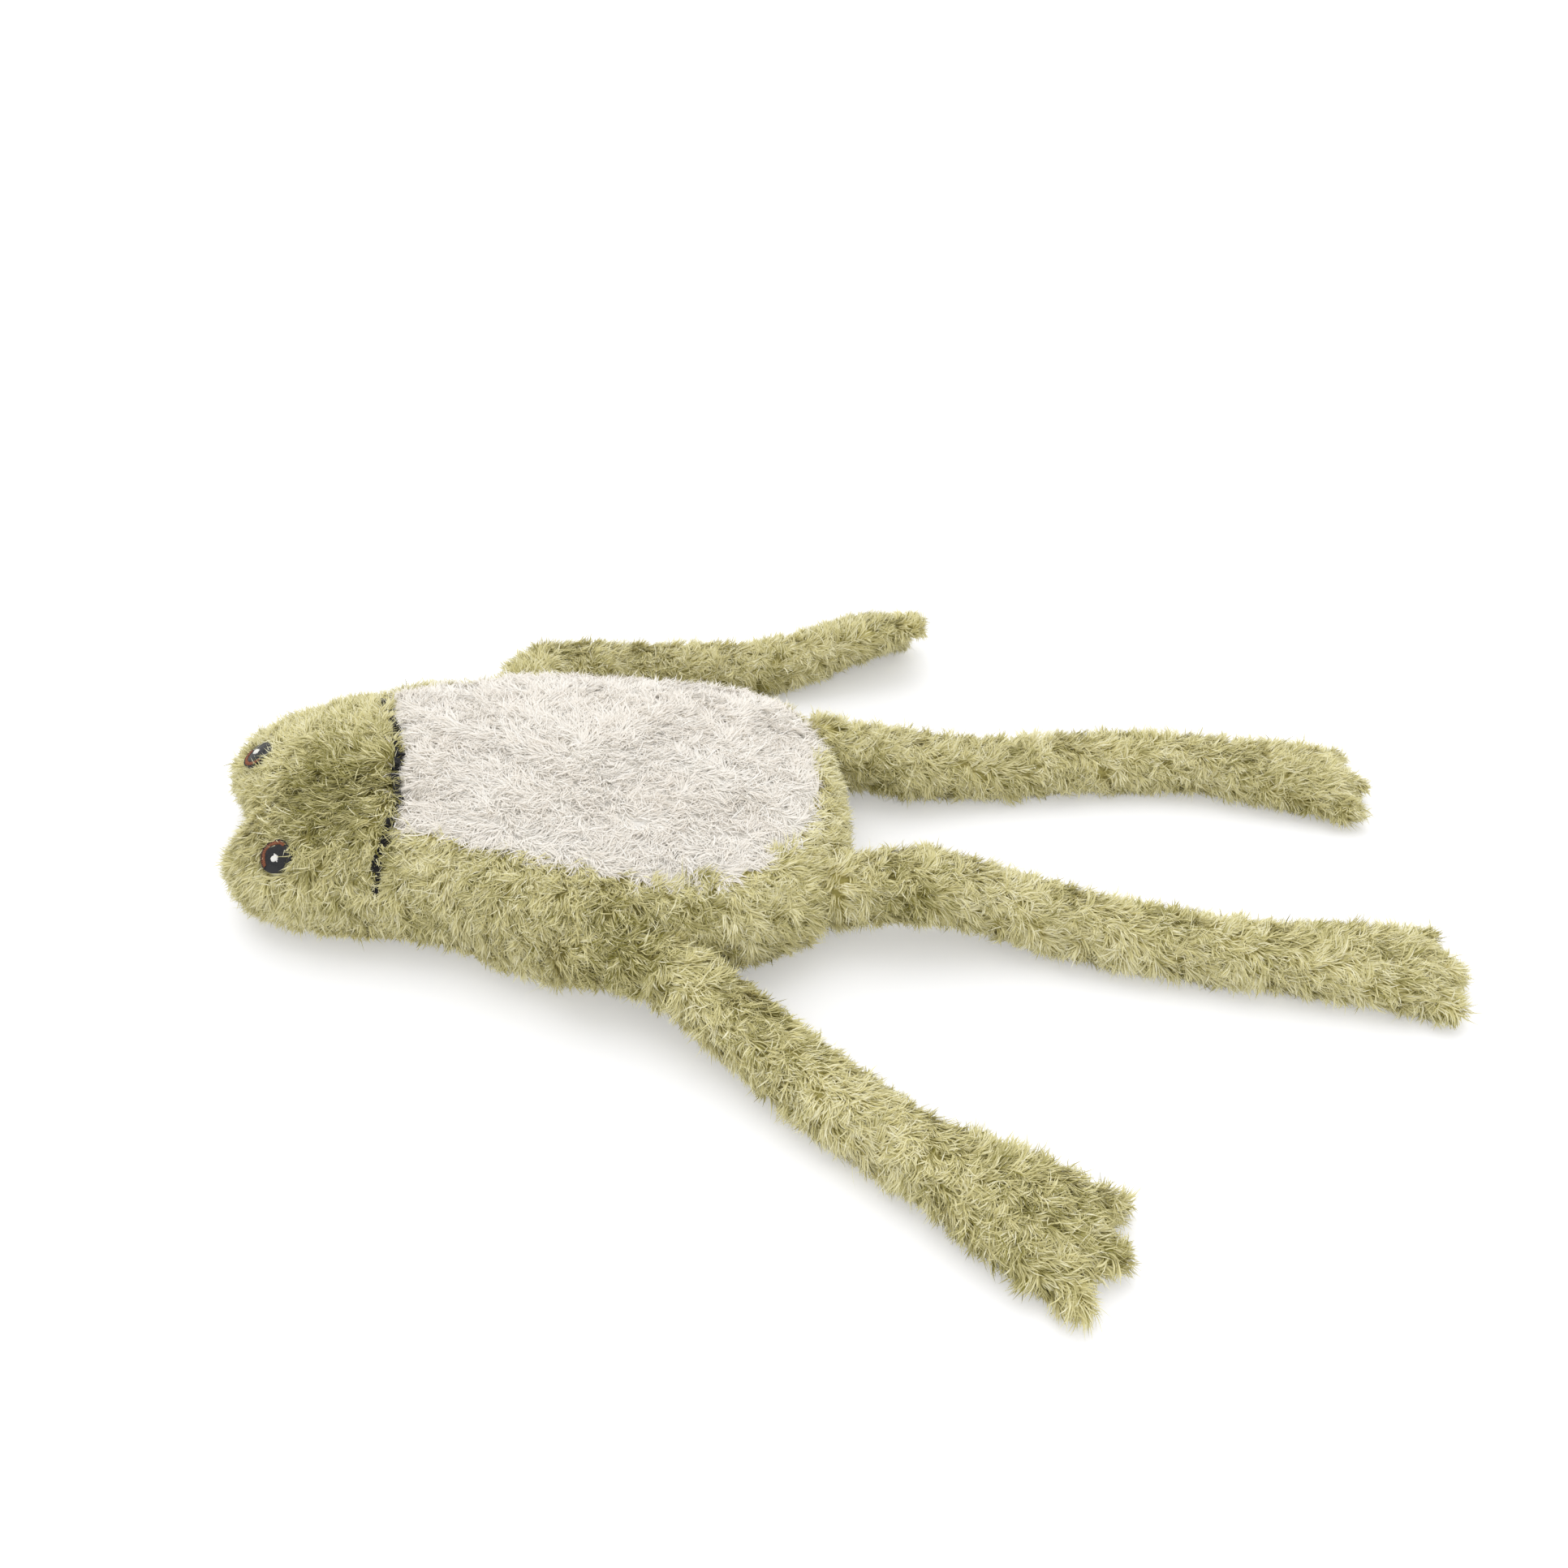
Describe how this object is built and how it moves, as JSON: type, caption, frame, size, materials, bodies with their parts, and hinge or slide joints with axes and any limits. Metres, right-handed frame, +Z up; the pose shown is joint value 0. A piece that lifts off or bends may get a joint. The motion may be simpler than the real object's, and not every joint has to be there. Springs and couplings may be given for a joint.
{
  "type": "plush frog",
  "caption": "Long-limbed stuffed frog in long-pile plush lying on its back, with a nodding head and limp arms and legs that swing, lift and bend.",
  "frame": {"origin": "on the surface that the back rests on, under the middle of the torso", "axes": "+X towards the feet, +Z up out of the belly, +Y towards the frog's left arm"},
  "size_m": [0.5275, 0.3923, 0.0575],
  "materials": {
    "green_plush": "long-pile plush",
    "cream_plush": "long-pile plush",
    "black_felt": "matt felt",
    "black_thread": "satin-stitch embroidery",
    "rust_thread": "satin-stitch embroidery",
    "white_thread": "satin-stitch embroidery",
    "stuffing": "loose polyester fibre",
    "tab_cloth": "knit backing cloth"
  },
  "bodies": {
    "torso": {"torso_back_panel": "green_plush", "torso_front_panel": "green_plush", "belly_panel": "cream_plush", "mouth_trim": "black_felt", "torso_stuffing": "stuffing"},
    "head": {"head_front_panel": "green_plush", "head_back_panel": "green_plush", "head_stuffing": "stuffing", "left_eye_pupil": "black_thread", "left_eye_rim": "rust_thread", "left_eye_glint": "white_thread", "right_eye_pupil": "black_thread", "right_eye_rim": "rust_thread", "right_eye_glint": "white_thread"},
    "right_arm_root": {"right_arm_seam_tab": "tab_cloth"},
    "right_upper_arm": {"right_upper_arm_sleeve": "green_plush", "right_upper_arm_stuffing": "stuffing"},
    "right_forearm": {"right_forearm_sleeve": "green_plush", "right_forearm_stuffing": "stuffing"},
    "left_arm_root": {"left_arm_seam_tab": "tab_cloth"},
    "left_upper_arm": {"left_upper_arm_sleeve": "green_plush", "left_upper_arm_stuffing": "stuffing"},
    "left_forearm": {"left_forearm_sleeve": "green_plush", "left_forearm_stuffing": "stuffing"},
    "right_leg_root": {"right_leg_seam_tab": "tab_cloth"},
    "right_thigh": {"right_thigh_sleeve": "green_plush", "right_thigh_stuffing": "stuffing"},
    "right_shin": {"right_shin_sleeve": "green_plush", "right_shin_stuffing": "stuffing"},
    "left_leg_root": {"left_leg_seam_tab": "tab_cloth"},
    "left_thigh": {"left_thigh_sleeve": "green_plush", "left_thigh_stuffing": "stuffing"},
    "left_shin": {"left_shin_sleeve": "green_plush", "left_shin_stuffing": "stuffing"}
  },
  "joints": [
    {"name": "neck", "type": "hinge", "parent": "torso", "child": "head", "pos_m": [-0.04, 0, 0.027], "axis": [-0.2164, 0.9763, 0], "range_deg": [-20, 35]},
    {"name": "right_arm_sweep", "type": "hinge", "parent": "torso", "child": "right_arm_root", "pos_m": [0.02501, -0.08591, 0.021], "axis": [0, 0, 1], "range_deg": [-90, 0]},
    {"name": "right_arm_lift", "type": "hinge", "parent": "right_arm_root", "child": "right_upper_arm", "pos_m": [0.02501, -0.08591, 0.021], "axis": [0, -1, 0], "range_deg": [0, 60]},
    {"name": "right_elbow", "type": "hinge", "parent": "right_upper_arm", "child": "right_forearm", "pos_m": [0.1265, -0.14404, 0.012], "axis": [0, 0, 1], "range_deg": [-45, 45]},
    {"name": "left_arm_sweep", "type": "hinge", "parent": "torso", "child": "left_arm_root", "pos_m": [-0.02105, 0.08591, 0.021], "axis": [0, 0, 1], "range_deg": [-6, 32]},
    {"name": "left_arm_lift", "type": "hinge", "parent": "left_arm_root", "child": "left_upper_arm", "pos_m": [-0.02105, 0.08591, 0.021], "axis": [0, -1, 0], "range_deg": [0, 60]},
    {"name": "left_elbow", "type": "hinge", "parent": "left_upper_arm", "child": "left_forearm", "pos_m": [0.07429, 0.11844, 0.012], "axis": [0, 0, 1], "range_deg": [-25, 45]},
    {"name": "right_leg_sweep", "type": "hinge", "parent": "torso", "child": "right_leg_root", "pos_m": [0.13206, -0.0459, 0.021], "axis": [0, 0, 1], "range_deg": [-36, 8]},
    {"name": "right_leg_lift", "type": "hinge", "parent": "right_leg_root", "child": "right_thigh", "pos_m": [0.13206, -0.0459, 0.021], "axis": [0, -1, 0], "range_deg": [-15, 46]},
    {"name": "right_knee", "type": "hinge", "parent": "right_thigh", "child": "right_shin", "pos_m": [0.23866, -0.05862, 0.012], "axis": [0, 0, 1], "range_deg": [-45, 20]},
    {"name": "left_leg_sweep", "type": "hinge", "parent": "torso", "child": "left_leg_root", "pos_m": [0.1272, 0.0459, 0.021], "axis": [0, 0, 1], "range_deg": [-6, 36]},
    {"name": "left_leg_lift", "type": "hinge", "parent": "left_leg_root", "child": "left_thigh", "pos_m": [0.1272, 0.0459, 0.021], "axis": [0, -1, 0], "range_deg": [-15, 46]},
    {"name": "left_knee", "type": "hinge", "parent": "left_thigh", "child": "left_shin", "pos_m": [0.23488, 0.04644, 0.012], "axis": [0, 0, 1], "range_deg": [-20, 45]}
  ]
}
